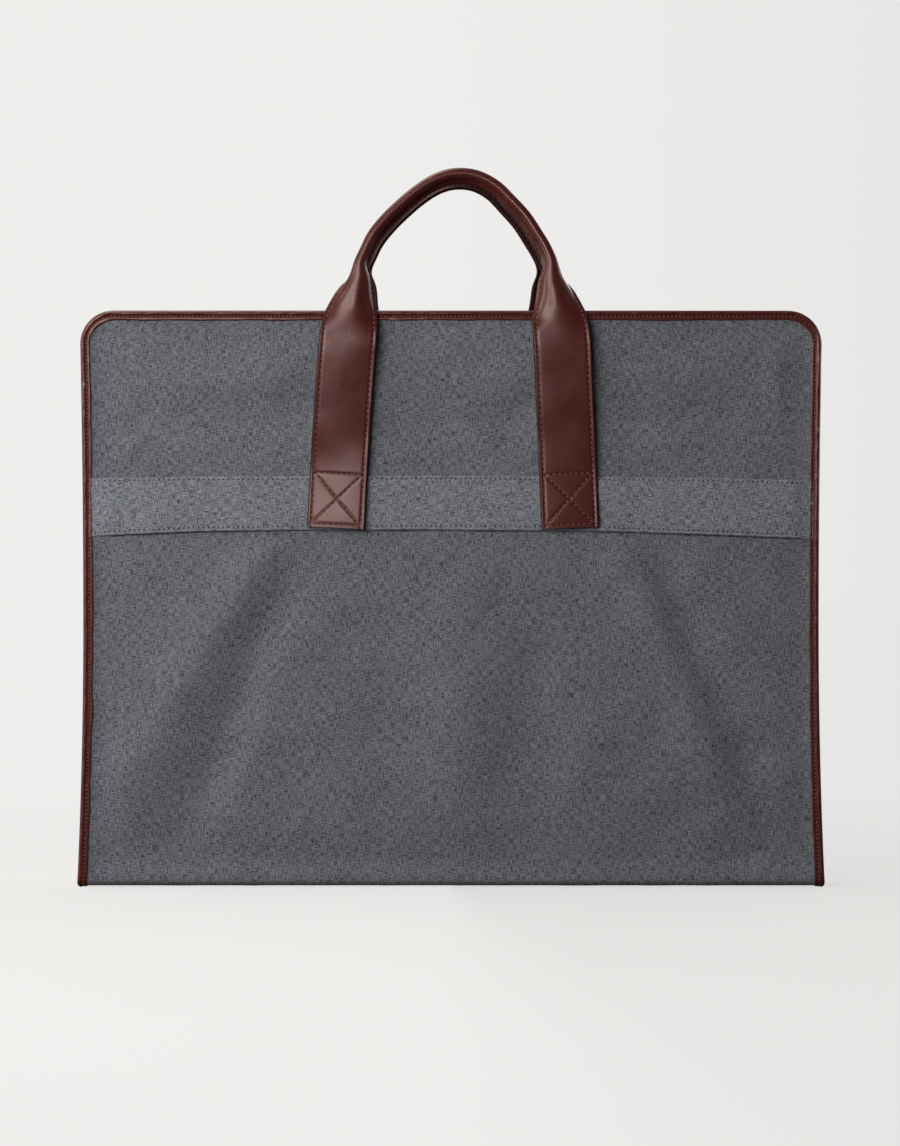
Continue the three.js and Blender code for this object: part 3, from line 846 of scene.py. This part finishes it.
class CARRIER_OT_inner_faces(bpy.types.Operator):
    """Make the inner canvas faces with the zip between them"""

    bl_idname = "carrier.inner_faces"
    bl_label = "Inner faces and zip"

    def execute(self, context):
        for half, side in HALVES.items():
            y, z, out = leg(True)
            rise = np.concatenate([np.linspace(z[-1], TOP - CORNER, 90)[1:], corner_rows()])
            y = np.concatenate([y, np.full(len(rise), INNER_FACE)])
            z = np.concatenate([z, rise])
            out = np.vstack([out, np.tile(out[-1], (len(rise), 1))])
            # The two panels part over the zip and meet above and below it.
            above = smooth(ZIP_HIGH[2] - 2, ZIP_HIGH[2] + 4, z)
            mouth = 0.25 + 6.75 * (1 - above) * smooth(INNER_FOLD_FLOOR + 0.1, INNER_FOLD_FLOOR + 2.5, z)
            along = distances(np.stack([y, z], axis=1))
            ripple = waves(91 + side, (40, 110))
            for word, hand in (("left", -1), ("right", 1)):
                share = np.linspace(0, 1, 75)
                x = hand * (mouth[:, None] + (row_half_width(z, TUCK) - mouth)[:, None] * share)
                edge = row_half_width(np.minimum(z, TOP - 3), 0)[:, None] - np.abs(x)
                edge = np.minimum(edge, (TOP - z)[:, None])
                lift = -0.45 * (1 + ripple(x, z[:, None])) * smooth(8, 40, edge) * smooth(7, 30, np.abs(x))
                grid = lifted(x, y, z, lift * smooth(14, 40, z)[:, None], out, side)
                obj = slab(f"{half}_inner_canvas_{word}", grid, CANVAS, finish_of("melange_canvas"),
                           (0, -side, 0), along, x[60])
                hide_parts(f"{half}_inner_panel_{word}")
                crosses_fold(obj)
            self.zip_of(half, side)
        return {"FINISHED"}

    def zip_of(self, half, side):
        """One half's zip: its woven tapes and two rows of cast teeth."""
        z = np.linspace(TAPE_LOW[2], TAPE_HIGH[2], 60)
        x = np.concatenate([np.linspace(-17, -3, 8), np.linspace(-2.4, 2.4, 5), np.linspace(3, 17, 8)])
        grid = plane(x[None, :], side * TAPE_LOW[1], z[:, None])
        tape = slab(f"{half}_zip_tape_cloth", grid, TAPE_HIGH[1] - TAPE_LOW[1], finish_of("zip_tape"),
                    (0, -side, 0))
        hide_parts(half + "_zip_tape_left", half + "_zip_tape_right")
        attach(tape, half + "_half")
        pitch = 2.4
        count = int((ZIP_HIGH[2] - ZIP_LOW[2] - 2) / pitch)
        height = ZIP_LOW[2] + 1.5 + pitch * np.arange(count)
        depth = side * (ZIP_HIGH[1] + ZIP_LOW[1]) / 2
        length, width, thick = 1.6, 0.55, (ZIP_HIGH[1] - ZIP_LOW[1]) / 2
        tooth = [(sx * length, sy * width * (0.7 if sx > 0 else 1), sz * thick * 0.98)
                 for sz in (-1, 1) for sx in (-1, 1) for sy in (-1, 1)]
        tooth_faces = [(0, 1, 3, 2), (4, 6, 7, 5), (0, 4, 5, 1), (2, 3, 7, 6), (0, 2, 6, 4), (1, 5, 7, 3)]
        places, alongs = [], []
        for hand in (-1, 1):
            at = height + (pitch / 2 if hand > 0 else 0)
            places.append(np.stack(np.broadcast_arrays(hand * 0.75, depth, at), axis=1))
            alongs.append(np.tile([-hand, 0.0, 0.0], (count, 1)))
        places, alongs = np.vstack(places), np.vstack(alongs)
        sides = np.tile([0, 0, 1.0], (len(places), 1))
        points, faces = copies(tooth, tooth_faces, places, sides, np.cross(alongs, sides), alongs)
        teeth = build(f"{half}_zip_teeth", points, faces, finish_of("aged_brass"), sharp=30)
        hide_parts(half + "_zip_chain")
        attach(teeth, half + "_half")


class CARRIER_OT_inside(bpy.types.Operator):
    """Make the foam, lining, hanger strap and spine lining"""

    bl_idname = "carrier.inside"
    bl_label = "Inside"

    def execute(self, context):
        strength = context.scene.carrier_sizes.relief
        for half, side in HALVES.items():
            for word, slot, finish in (("foam", "foam", "foam_sheet"), ("lining", "lining", "lining_cotton")):
                low, high = reach("rear_" + word)
                z = np.linspace(low[2], high[2], 40)[:, None]
                half_row = np.minimum(row_half_width(np.minimum(z, TOP - 4), 10), high[0])
                x = np.linspace(-1, 1, 48)[None, :] * half_row
                ripple = waves(101 + side, (50, 130))(x, z) if word == "lining" else 0
                drape = canvas_drape(x, np.broadcast_to(z, x.shape), side, strength)
                y = low[1] - 0.3 + np.minimum(drape, 0)
                y = y - 0.5 * np.clip(ripple + 1, 0, 2) * smooth(0, 30, half_row - np.abs(x))
                obj = slab(f"{half}_{finish}", plane(x, side * y, z), high[1] - low[1], finish_of(finish),
                           (0, -side, 0))
                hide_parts(f"{half}_{word}")
                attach(obj, half + "_half")
        low, high = reach("spine_lining")
        x, y = np.linspace(low[0], high[0], 60)[:, None], np.linspace(low[1], high[1], 14)[None, :]
        grid = plane(x, y, high[2] + 0.12 * waves(7, (20, 60))(x, y))
        obj = slab("spine_lining_cotton", grid, high[2] - low[2], finish_of("lining_cotton"), (0, 0, 1))
        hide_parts("spine_lining")
        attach(obj, "spine")
        self.hanger_strap()
        return {"FINISHED"}

    def hanger_strap(self):
        """A doubled length of webbing, open in the middle so that a hanger's hook can pass."""
        low, high = reach("hanger_strap")
        middle = (low[1] + high[1]) / 2
        z = np.linspace(low[2], high[2], 30)
        bow = 1.5 * np.sin(np.pi * (z - low[2]) / (high[2] - low[2]))
        x = np.linspace(low[0], high[0], 11)[None, :]
        grid = plane(x, (middle - 0.8 - bow)[:, None], z[:, None])
        obj = slab("hanger_webbing", grid, high[1] - low[1], finish_of("webbing"), (0, -1, 0))
        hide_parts("hanger_strap")
        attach(obj, "rear_half")
        for node in ("zip_top_stop", "zip_bottom_stop", "zip_slider", "zip_pull"):
            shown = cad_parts[node]
            shown.data.materials.clear()
            shown.data.materials.append(finish_of("aged_brass"))


# ---------------------------------------------------------------- handles

# The handle's middle line at its left and right legs and over the arch: across and height, in mm.
HANDLE_LEFT = ((-91.2, 290.4), (-88.6, 340), (-84.6, 400), (-81.0, 445), (-77.2, 470), (-74.4, 487),
               (-72.0, 502), (-66.8, 514), (-60.6, 526.5), (-51.4, 538.2), (-40.6, 549.0), (-28.4, 559.6),
               (-15.6, 568.6), (-3.6, 574.0))
HANDLE_RIGHT = ((97.6, 290.4), (95.6, 340), (92.8, 400), (90.6, 445), (87.6, 468), (85.4, 486),
                (83.0, 502), (77.6, 515.6), (70.0, 528.4), (61.0, 542.0), (49.6, 554.4), (37.6, 566.0),
                (23.2, 573.6))
ROLL_RADIUS, ROLL_THICK, STRAP_THICK = 3.75, 1.9, 2.8
STRAP_HALF, ROLL_HALF = 22.4, 13.6
# How far the strap has closed into the roll, and how far its seam has turned from the back to the
# inside of the arch, by height.
ROLL_HEIGHTS = (440, 452, 460, 468, 476, 484, 491, 497, 504, 512)
ROLL_SHARES = (0, 0.04, 0.12, 0.23, 0.35, 0.46, 0.57, 0.73, 0.93, 1.0)
TURN_HEIGHTS = (470, 480, 488, 494, 500, 506, 514, 524)
TURN_SHARES = (0, 0.03, 0.13, 0.27, 0.42, 0.52, 0.58, 0.6)
# Stitches run EDGE_ROW inside a strap's edges. BOX_ENDS are the sewn box's ends from the strap's end.
EDGE_ROW = 2.4
BOX_ENDS = (2.6, 43.6)


def handle_path(side):
    """The handle's middle line from its left sewn end over the arch to its right one."""
    line = list(HANDLE_LEFT) + [(9.0, 575.8)] + list(HANDLE_RIGHT[::-1])
    points = []
    for x, z in line:
        # Above its sewn end the strap stands off the bag, then leans back towards the other handle.
        stand = 2.0 * (1 - smooth(288, 364, z))
        stand = stand + 6.2 * np.clip((z - 350) / 80, 0, 1) * (1 - smooth(436, 506, z))
        y = 32.4 + stand - 6 * smooth(470, 576, z)
        x = x - 1.5
        if side > 0:
            x = x - 3.4 * smooth(0, 60, x) + 0.8 * smooth(0, 60, -x)
        points.append((x, side * y, z))
    return curve_through(points, 0.6)


def eased(z, heights, shares):
    """The share at height z from a table, with its corners smoothed."""
    fine = np.linspace(heights[0], heights[-1], 200)
    rough = np.interp(fine, heights, shares)
    padded = np.concatenate([np.full(12, rough[0]), rough, np.full(12, rough[-1])])
    even = np.convolve(padded, np.ones(25) / 25, "valid")
    return np.interp(z, fine, even)


def handle_section(share, fractions):
    """The leather's middle line across one section, from edge to edge: offsets across and out."""
    half = STRAP_HALF + (ROLL_HALF - STRAP_HALF) * share
    s = np.abs(fractions) * half
    fine = np.linspace(0, half, 240)
    tail, back = 2.0, 2.2
    bend = half - tail - back
    heading = share * math.radians(152) * np.clip(fine / bend, 0, 1)
    heading = heading - share * math.radians(62) * smooth(0, 1, np.clip((fine - bend) / back, 0, 1))
    step = fine[1] - fine[0]
    a = np.concatenate([[0], np.cumsum(np.cos((heading[1:] + heading[:-1]) / 2) * step)])
    n = np.concatenate([[0], np.cumsum(-np.sin((heading[1:] + heading[:-1]) / 2) * step)])
    across = np.interp(s, fine, a) * np.sign(fractions)
    rolled = smooth(0.6, 1.0, share)
    out = (np.interp(s, fine, n) - n.min() * 0.3 * (1 - rolled) * smooth(0, 0.5, share)
           + (ROLL_RADIUS + 0.85) * rolled)
    turn = np.interp(s, fine, heading) * np.sign(fractions)
    return across, out, turn


def handle_surface(side):
    """Rows of the handle's leather: places on its middle line, the ways out and across there,
    distances along the line, and each row's roll share."""
    line = handle_path(side)
    along = distances(line)
    z = line[:, 2]
    fine = np.where(z < 338, 1.15, np.where(z < 455, 3.2, np.where(z < 520, 1.5, 2.4)))
    density = np.concatenate([[0], np.cumsum(np.diff(along) / ((fine[1:] + fine[:-1]) / 2))])
    rows = np.interp(np.linspace(0, density[-1], int(density[-1]) + 1), density, along)
    place = sampled(rows, along, line)
    tangent = unit(np.gradient(place, axis=0))
    front = np.tile([0.0, side, 0.0], (len(rows), 1))
    front = unit(front - tangent * np.sum(front * tangent, axis=1, keepdims=True))
    arch = -side * np.cross(front, tangent)
    return place, front, arch, rows, eased(place[:, 2], ROLL_HEIGHTS, ROLL_SHARES)


# Where a row's points lie across the strap, from edge to edge: closer together at the edges.
COLUMNS = np.concatenate([np.linspace(-1, -0.8, 9)[:-1], np.linspace(-0.8, 0.8, 45),
                          np.linspace(0.8, 1, 9)[1:]])


class CARRIER_OT_handles(bpy.types.Operator):
    """Make both leather handles, their stitches and their rope cores"""

    bl_idname = "carrier.handles"
    bl_label = "Handles"

    def execute(self, context):
        for half in HALVES:
            self.handle(half, context.scene.carrier_sizes)
            self.core(half)
        return {"FINISHED"}

    def handle(self, half, sizes):
        side = HALVES[half]
        place, front, arch, rows, share = handle_surface(side)
        surface, normals, back, widths = [], [], [], []
        turned = eased(place[:, 2], TURN_HEIGHTS, TURN_SHARES)
        # Both straps turn 2.2 degrees one way just above their sewn ends, and further up the left one
        # turns 3.5 degrees the other way.
        tilt = np.radians(2.2 * (1 - smooth(332, 366, place[:, 2]))
                          - 3.5 * smooth(346, 376, place[:, 2]) * (1 - smooth(424, 456, place[:, 2]))
                          * (place[:, 0] < 0))
        wander = waves(131 + side, (40, 110))
        fine_wander = waves(141 + side, (9, 24))
        for k in range(len(rows)):
            c = share[k]
            across, out, turn = handle_section(c, COLUMNS)
            half_row = STRAP_HALF + (ROLL_HALF - STRAP_HALF) * c
            widths.append(half_row)
            angle = turned[k] * math.pi / 2 + tilt[k]
            normal = front[k] * math.cos(angle) + arch[k] * math.sin(angle)
            width = arch[k] * math.cos(angle) - front[k] * math.sin(angle)
            middle = place[k] + across[:, None] * width + out[:, None] * normal
            facing = normal * np.cos(turn)[:, None] + width * np.sin(turn)[:, None]
            t = STRAP_THICK + (ROLL_THICK - STRAP_THICK) * c
            s = COLUMNS * half_row
            end = min(rows[k], rows[-1] - rows[k])
            # Stitches pull the leather down into a groove, and it swells between them.
            inner = half_row - EDGE_ROW
            dent = 0.34 * np.exp(-((half_row - np.abs(s) - EDGE_ROW) / 0.95) ** 2)
            if end < 60:
                inside = (s > -half_row + EDGE_ROW) & (s < inner)
                for line in BOX_ENDS:
                    dent = np.maximum(dent, 0.36 * math.exp(-((end - line) / 0.85) ** 2) * inside)
                if BOX_ENDS[0] <= end <= BOX_ENDS[1]:
                    t_box = (end - BOX_ENDS[0]) / (BOX_ENDS[1] - BOX_ENDS[0])
                    for slope in (-1, 1):
                        off = (s - slope * inner * (2 * t_box - 1)) * 0.72
                        dent = np.maximum(dent, 0.36 * np.exp(-(off / 0.85) ** 2))
            crown = 0.35 * (1 - (np.abs(COLUMNS) ** 2.2)) * (1 - c)
            ripple = 0.13 * wander(rows[k], s * 1.4) + 0.015 * fine_wander(rows[k], s)
            ripple = ripple * smooth(44, 90, end) * (1 - c)
            shape = crown + ripple - dent * (1 - 0.35 * c)
            surface.append(middle + facing * (t / 2 + shape)[:, None])
            back.append(middle - facing * (t / 2))
            normals.append(facing)
        surface, normals, back = np.array(surface), np.array(normals), np.array(back)
        rings = []
        for k in range(len(rows)):
            right = self.edge(surface[k, -1], back[k, -1], surface[k, -1] - surface[k, -2])
            left = self.edge(back[k, 0], surface[k, 0], surface[k, 0] - surface[k, 1])
            rings.append(np.vstack([surface[k], right, back[k, ::-2], left]))
        rings = np.array(rings)
        lap = lap_of(rings[5])
        # The rear handle takes the leather darkened as painted shade.
        hide = "handle_leather" if half == "front" else "rear_handle_leather"
        obj = loft(f"{half}_handle_leather", rings, finish_of(hide), rows, lap, sharp=60)
        obj.data.materials.append(finish_of("burnished_edge"))
        index = np.zeros((len(rings) - 1, rings.shape[1]), np.int32)
        index[:, len(COLUMNS) - 1:len(COLUMNS) + 4] = 1
        index[:, -5:] = 1
        index = np.concatenate([index.ravel(), [1, 1]]).astype(np.int32)
        obj.data.polygons.foreach_set("material_index", index)
        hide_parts(*(f"{half}_handle_{word}" for word in
                           ("anchor_left", "anchor_right", "strap_left", "strap_right", "grip")))
        self.bends(obj, half)
        self.stitches(half, sizes, surface, normals, rows, np.array(widths))

    @staticmethod
    def edge(a, b, outward):
        """Four points that round the cut edge between the two faces."""
        middle, radius = (a + b) / 2, np.linalg.norm(a - b) / 2
        outward = outward / max(np.linalg.norm(outward), 1e-9)
        up = (a - b) / max(2 * radius, 1e-9)
        turn = np.radians([66, 28, -28, -66])
        return np.array([middle + radius * (math.sin(t) * up + 0.8 * math.cos(t) * outward) for t in turn])

    @staticmethod
    def bends(obj, half):
        """Bakes the handle's placement into its points."""
        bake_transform(obj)

    def stitches(self, half, sizes, surface, normals, rows, widths):
        """Stitches along both edges of a handle, and the box and cross at each of its ends."""
        length = rows[-1]
        row_index = np.arange(len(rows))

        def at(distance, s):
            """Place and normal on the leather at distances along and across it, in mm."""
            r = np.interp(distance, rows, row_index)
            w = np.interp(distance, rows, widths)
            c = np.interp(s / w, COLUMNS, np.arange(len(COLUMNS)))
            r0 = np.clip(r.astype(int), 0, len(rows) - 2)
            c0 = np.clip(c.astype(int), 0, len(COLUMNS) - 2)
            fr, fc = (r - r0)[:, None], (c - c0)[:, None]
            found = []
            for table in (surface, normals):
                found.append((table[r0, c0] * (1 - fr) * (1 - fc) + table[r0 + 1, c0] * fr * (1 - fc)
                              + table[r0, c0 + 1] * (1 - fr) * fc + table[r0 + 1, c0 + 1] * fr * fc))
            return found[0] + 0.1 * unit(found[1]), unit(found[1])

        lines = []
        whole = np.linspace(BOX_ENDS[0], length - BOX_ENDS[0], 900)
        height = np.interp(whole, rows, surface[:, 30, 2])
        first, last = np.argmax(height > 500), len(whole) - np.argmax(height[::-1] > 500)
        # On the rolled grip the row shows only on the side that looks at the other handle.
        for hand, part in ((-1, whole[:first]), (-1, whole[last:]), (1, whole)):
            reach_s = hand * (np.interp(part, rows, widths) - EDGE_ROW)
            lines.append(at(part, reach_s))
        across = np.linspace(-1, 1, 60)
        inner = STRAP_HALF - EDGE_ROW
        for flip in (False, True):
            for line in BOX_ENDS:
                distance = np.full(60, line)
                distance = length - distance if flip else distance
                lines.append(at(distance, across * (inner - 2)))
            for slope in (-1, 1):
                distance = BOX_ENDS[0] + (BOX_ENDS[1] - BOX_ENDS[0]) * (across + 1) / 2
                distance = length - distance if flip else distance
                lines.append(at(distance, slope * across * (inner - 1)))
        # The rear handle's thread is darkened as painted shade.
        cotton = "waxed_leather_thread" if half == "front" else "rear_shaded_leather_thread"
        thread = sew(f"{half}_handle_stitches", lines, sizes.handle_pitch * 1000, 0.85,
                     finish_of(cotton), finish_of("hole_painted_shade"))
        self.bends(thread, half)

    def core(self, half):
        """Twisted cotton rope inside the rolled grip, with three strands."""
        side = HALVES[half]
        line = handle_path(side)
        line = line[line[:, 2] > 508][::4]
        along = distances(line)
        tangent = unit(np.gradient(line, axis=0))
        front = np.tile([0.0, side, 0.0], (len(line), 1))
        front = unit(front - tangent * np.sum(front * tangent, axis=1, keepdims=True))
        arch = np.cross(front, tangent)
        angle = np.linspace(0, 2 * math.pi, 24, endpoint=False)
        rings = []
        for k in range(len(line)):
            radius = 2.75 + 0.35 * np.abs(np.cos(1.5 * (angle + along[k] * 2 * math.pi / 18)))
            way = np.cos(angle)[:, None] * front[k] + np.sin(angle)[:, None] * arch[k]
            rings.append(line[k] + radius[:, None] * way)
        obj = loft(f"{half}_handle_rope", np.array(rings), finish_of("cotton_rope"), along)
        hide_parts(half + "_handle_core")
        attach(obj, half + "_handle")


# ---------------------------------------------------------------- stage

# The studio's softboxes: name, place, what it looks at, width and height in metres, and watts.
SOFTBOXES = (
    ("key_softbox", (-0.85, -1.4, 0.9), (-0.05, 0, 0.28), (1.1, 0.8), 20.5),
    ("sheen_softbox", (-0.36, -2.25, 0.6), (-0.09, 0, 0.31), (0.26, 0.3), 7.5),
    ("left_softbox", (-1.9, -0.5, 0.6), (0, 0, 0.25), (0.7, 1.6), 17),
    ("fill_softbox", (2.1, -1.3, 0.8), (0, 0, 0.25), (0.7, 1.6), 1),
    ("top_softbox", (-0.5, 0.2, 1.8), (-0.1, 0, 0.3), (1.2, 0.8), 12),
    ("right_softbox", (2.2, 0.8, 0.9), (0, 0, 0.25), (0.9, 1.2), 12),
    ("rear_softbox", (0.9, 1.9, 1.3), (0, 0, 0.25), (1.2, 1.0), 12),
)
# The paper's painted light: its brightness falls from left to right, between these two slopes away from the
# middle.
PAPER_LIGHT_FALL = (-0.03, 0.17, 1.0, 0.925)


class CARRIER_OT_stage(bpy.types.Operator):
    """Set up the floor, the studio light and the camera"""

    bl_idname = "carrier.stage"
    bl_label = "Studio"

    def execute(self, context):
        scene = context.scene
        paper = tuple(scene.carrier_colours.backdrop)
        scene.view_settings.view_transform = "Standard"
        self.floor(paper)
        self.surroundings(scene, paper)
        for softbox in SOFTBOXES:
            self.softbox(*softbox)
        camera = bpy.data.objects.new("camera", bpy.data.cameras.new("camera"))
        camera.location = (-0.0008, -2.52, 0.254)
        camera.rotation_euler = (math.pi / 2, 0, 0)
        camera.data.sensor_width = 36
        camera.data.lens = 97
        scene.collection.objects.link(camera)
        scene.camera = camera
        return {"FINISHED"}

    def floor(self, paper):
        """A wide round sheet of studio paper. Far out it glows as bright as the surroundings, so
        that no horizon shows."""
        bpy.ops.object.select_all(action="DESELECT")
        bpy.ops.mesh.primitive_circle_add(vertices=96, radius=30, fill_type="NGON", location=(0, 0, 0))
        floor = bpy.context.object
        floor.name = "studio_floor"
        bpy.ops.object.mode_set(mode="EDIT")
        bpy.ops.mesh.select_all(action="SELECT")
        bpy.ops.mesh.inset(thickness=24, depth=0)
        bpy.ops.object.mode_set(mode="OBJECT")
        material, tree, shader = shaded("studio_paper", Roughness=0.9, Specular_IOR_Level=0.1)
        shader.inputs["Base Color"].default_value = tint(paper, 0.82)
        place = add_node(tree, "ShaderNodeTexCoord").outputs["Object"]
        far = add_node(tree, "ShaderNodeVectorMath", {0: place}, operation="LENGTH")
        ramp = ramped(tree, far.outputs["Value"], 0.25, 1.3, 0.8, 1.0, "SMOOTHSTEP")
        across = add_node(tree, "ShaderNodeSeparateXYZ", {0: place})
        side = maths(tree, "DIVIDE", across.outputs["X"], far.outputs["Value"])
        # The glow is painted light on the paper, brighter to the left and falling to the right.
        glow = add_node(tree, "ShaderNodeEmission",
                        {"Color": paper, "Strength": ramped(tree, side, *PAPER_LIGHT_FALL)})
        mixed = add_node(tree, "ShaderNodeMixShader", {0: ramp, 1: shader.outputs[0], 2: glow.outputs[0]})
        output = next(n for n in tree.nodes if n.type == "OUTPUT_MATERIAL")
        tree.links.new(mixed.outputs[0], output.inputs["Surface"])
        floor.data.materials.append(material)
        floor.visible_glossy = False
        floor.visible_diffuse = False

    def surroundings(self, scene, paper):
        """A pale studio: bright behind, above and to the left, dim on the camera's side."""
        world = bpy.data.worlds.new("studio")
        scene.world = world
        world.use_nodes = True
        tree = world.node_tree
        tree.nodes.clear()
        way = add_node(tree, "ShaderNodeTexCoord").outputs["Generated"]
        parts = add_node(tree, "ShaderNodeSeparateXYZ", {0: way})
        back = ramped(tree, parts.outputs["Y"], -0.75, 0.45, 0.04, 0.4, "SMOOTHSTEP")
        left = ramped(tree, parts.outputs["X"], -1.0, 1.0, 1.25, 0.6)
        rise = ramped(tree, parts.outputs["Z"], -0.35, 0.1, 0.15, 1.0, "SMOOTHSTEP")
        light = maths(tree, "MULTIPLY", maths(tree, "MULTIPLY", back, left), rise)
        lit = add_node(tree, "ShaderNodeBackground", {"Color": (1.0, 0.995, 0.985, 1), "Strength": light})
        # What the camera sees round the carrier is the paper's colour with the same painted fall of light.
        shade = ramped(tree, parts.outputs["X"], *PAPER_LIGHT_FALL)
        seen = add_node(tree, "ShaderNodeBackground", {"Color": paper, "Strength": shade})
        path = add_node(tree, "ShaderNodeLightPath")
        mixed = add_node(tree, "ShaderNodeMixShader",
                         {0: path.outputs["Is Camera Ray"], 1: lit.outputs[0], 2: seen.outputs[0]})
        add_node(tree, "ShaderNodeOutputWorld", {"Surface": mixed.outputs[0]})

    def softbox(self, name, place, target, size, power):
        """A rectangular softbox that looks at target."""
        data = bpy.data.lights.new(name, "AREA")
        data.shape = "RECTANGLE"
        data.size, data.size_y = size
        data.energy = power
        data.color = (1.0, 0.985, 0.965)
        obj = bpy.data.objects.new(name, data)
        obj.location = place
        obj.rotation_euler = (Vector(target) - Vector(place)).to_track_quat("-Z", "Y").to_euler()
        bpy.context.collection.objects.link(obj)


OPERATORS = (CARRIER_OT_outer_canvas, CARRIER_OT_handle_bands, CARRIER_OT_bindings, CARRIER_OT_gussets,
             CARRIER_OT_inner_faces, CARRIER_OT_inside, CARRIER_OT_handles, CARRIER_OT_stage)


class CARRIER_PT_panel(bpy.types.Panel):
    """Lists the carrier's pieces"""

    bl_idname = "CARRIER_PT_panel"
    bl_label = "Garment carrier"
    bl_space_type = "VIEW_3D"
    bl_region_type = "UI"
    bl_category = "Carrier"

    def draw(self, context):
        for group in (context.scene.carrier_sizes, context.scene.carrier_colours):
            for name in group.__annotations__:
                self.layout.prop(group, name)
        for operator in OPERATORS:
            self.layout.operator(operator.bl_idname)


CLASSES = (CarrierSizes, CarrierColours) + OPERATORS + (CARRIER_PT_panel,)


def register():
    for item in CLASSES:
        bpy.utils.register_class(item)
    bpy.types.Scene.carrier_sizes = bpy.props.PointerProperty(type=CarrierSizes)
    bpy.types.Scene.carrier_colours = bpy.props.PointerProperty(type=CarrierColours)


def unregister():
    del bpy.types.Scene.carrier_colours
    del bpy.types.Scene.carrier_sizes
    for item in reversed(CLASSES):
        bpy.utils.unregister_class(item)


def main():
    """Builds the whole carrier."""
    register()
    bpy.ops.carrier.outer_canvas()
    bpy.ops.carrier.handle_bands()
    bpy.ops.carrier.bindings()
    bpy.ops.carrier.gussets()
    bpy.ops.carrier.inner_faces()
    bpy.ops.carrier.inside()
    bpy.ops.carrier.handles()
    bpy.ops.carrier.stage()


if __name__ == "__main__":
    main()
